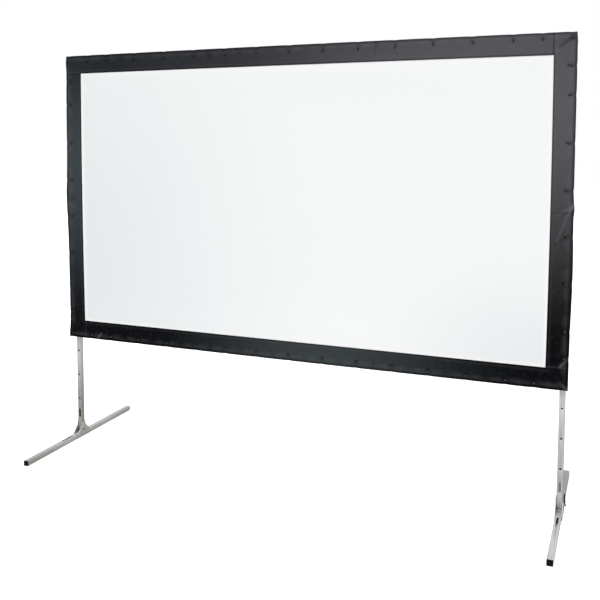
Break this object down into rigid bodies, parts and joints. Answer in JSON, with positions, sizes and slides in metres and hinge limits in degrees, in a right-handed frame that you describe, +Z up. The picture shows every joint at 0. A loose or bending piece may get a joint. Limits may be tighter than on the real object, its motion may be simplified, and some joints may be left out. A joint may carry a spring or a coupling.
{
  "type": "portable projection screen",
  "caption": "Portable front projection screen: white sheet with a black masking border snapped to a folding square-tube frame on two fold-away T legs.",
  "frame": {"origin": "on the floor, midway between the legs, in the plane through the middle of both uprights", "axes": "+X along the screen to the viewer's right, +Y away from the viewer, +Z up; the screen's front faces -Y"},
  "size_m": [3.1634, 1.22, 2.5817],
  "materials": {
    "border_fabric": "black vinyl-coated cloth, slight sheen",
    "white_vinyl": "matt white projection vinyl",
    "anodised_tube": "satin clear-anodised extrusion",
    "cast_aluminium": "as-cast, tumbled",
    "zinc_steel": "zinc-plated pressed steel",
    "black_steel": "black powder coat",
    "black_plastic": "moulded, fine texture",
    "grey_plastic": "moulded, fine texture"
  },
  "bodies": {
    "root": {"masking_border": "border_fabric", "projection_surface": "white_vinyl", "bottom_rail_tube_left": "anodised_tube", "bottom_rail_tube_middle": "anodised_tube", "bottom_rail_tube_right": "anodised_tube", "bottom_left_hinge_pin_half": "zinc_steel", "bottom_left_hinge_middle_half": "zinc_steel", "bottom_left_corner_hinge_half": "zinc_steel", "bottom_right_hinge_pin_half": "zinc_steel", "bottom_right_hinge_middle_half": "zinc_steel", "bottom_right_corner_hinge_half": "zinc_steel", "top_rail_tube_left": "anodised_tube", "top_rail_tube_middle": "anodised_tube", "top_rail_tube_right": "anodised_tube", "top_left_hinge_pin_half": "zinc_steel", "top_left_hinge_middle_half": "zinc_steel", "top_left_corner_hinge_half": "zinc_steel", "top_right_hinge_pin_half": "zinc_steel", "top_right_hinge_middle_half": "zinc_steel", "top_right_corner_hinge_half": "zinc_steel", "left_side_tube_lower": "anodised_tube", "left_side_tube_upper": "anodised_tube", "left_side_hinge_pin_half": "zinc_steel", "left_side_hinge_middle_half": "zinc_steel", "left_latch_base": "zinc_steel", "left_leg_upright": "anodised_tube", "left_leg_upright_cap": "black_plastic", "left_leg_clamp_lower": "black_steel", "left_leg_clamp_upper": "black_steel", "right_side_tube_lower": "anodised_tube", "right_side_tube_upper": "anodised_tube", "right_side_hinge_pin_half": "zinc_steel", "right_side_hinge_middle_half": "zinc_steel", "right_latch_base": "zinc_steel", "right_leg_upright": "anodised_tube", "right_leg_upright_cap": "black_plastic", "right_leg_clamp_lower": "black_steel", "right_leg_clamp_upper": "black_steel"},
    "left_foot": {"left_leg_foot_bar": "anodised_tube", "left_leg_foot_cap_front": "black_plastic", "left_leg_foot_cap_rear": "grey_plastic", "left_leg_gusset_inner": "cast_aluminium", "left_leg_gusset_outer": "cast_aluminium", "left_leg_pivot_bolt": "zinc_steel"},
    "left_lever": {"left_leg_lock_lever": "black_steel"},
    "left_knob_lower": {"left_leg_knob_lower": "black_plastic"},
    "left_knob_upper": {"left_leg_knob_upper": "black_plastic"},
    "left_hook": {"left_latch_hook": "black_steel"},
    "right_foot": {"right_leg_foot_bar": "anodised_tube", "right_leg_foot_cap_front": "black_plastic", "right_leg_foot_cap_rear": "grey_plastic", "right_leg_gusset_inner": "cast_aluminium", "right_leg_gusset_outer": "cast_aluminium", "right_leg_pivot_bolt": "zinc_steel"},
    "right_lever": {"right_leg_lock_lever": "black_steel"},
    "right_knob_lower": {"right_leg_knob_lower": "black_plastic"},
    "right_knob_upper": {"right_leg_knob_upper": "black_plastic"},
    "right_hook": {"right_latch_hook": "black_steel"}
  },
  "joints": [
    {"name": "left_foot_fold", "type": "hinge", "parent": "root", "child": "left_foot", "pos_m": [-1.548, 0, 0.04875], "axis": [1, 0, 0], "range_deg": [0, 90]},
    {"name": "left_lever_press", "type": "hinge", "parent": "left_foot", "child": "left_lever", "pos_m": [-1.57468, 0.008, 0.076], "axis": [0, -1, 0], "range_deg": [0, 10], "stiffness_Nm_per_rad": 0.5, "springref_deg": -5.73},
    {"name": "left_knob_lower_turn", "type": "hinge", "parent": "root", "child": "left_knob_lower", "pos_m": [-1.548, 0.03, 0.7675], "axis": [0, 1, 0], "continuous": true},
    {"name": "left_knob_upper_turn", "type": "hinge", "parent": "root", "child": "left_knob_upper", "pos_m": [-1.548, 0.03, 1.168], "axis": [0, 1, 0], "continuous": true},
    {"name": "left_hook_swing", "type": "hinge", "parent": "root", "child": "left_hook", "pos_m": [-1.52412, -0.04115, 1.6058], "axis": [0, 1, 0], "range_deg": [0, 100]},
    {"name": "right_foot_fold", "type": "hinge", "parent": "root", "child": "right_foot", "pos_m": [1.548, 0, 0.04875], "axis": [1, 0, 0], "range_deg": [0, 90]},
    {"name": "right_lever_press", "type": "hinge", "parent": "right_foot", "child": "right_lever", "pos_m": [1.57468, 0.008, 0.076], "axis": [0, 1, 0], "range_deg": [0, 10], "stiffness_Nm_per_rad": 0.5, "springref_deg": -5.73},
    {"name": "right_knob_lower_turn", "type": "hinge", "parent": "root", "child": "right_knob_lower", "pos_m": [1.548, 0.03, 0.7675], "axis": [0, 1, 0], "continuous": true},
    {"name": "right_knob_upper_turn", "type": "hinge", "parent": "root", "child": "right_knob_upper", "pos_m": [1.548, 0.03, 1.168], "axis": [0, 1, 0], "continuous": true},
    {"name": "right_hook_swing", "type": "hinge", "parent": "root", "child": "right_hook", "pos_m": [1.52412, -0.04115, 1.6058], "axis": [0, -1, 0], "range_deg": [0, 100]}
  ]
}
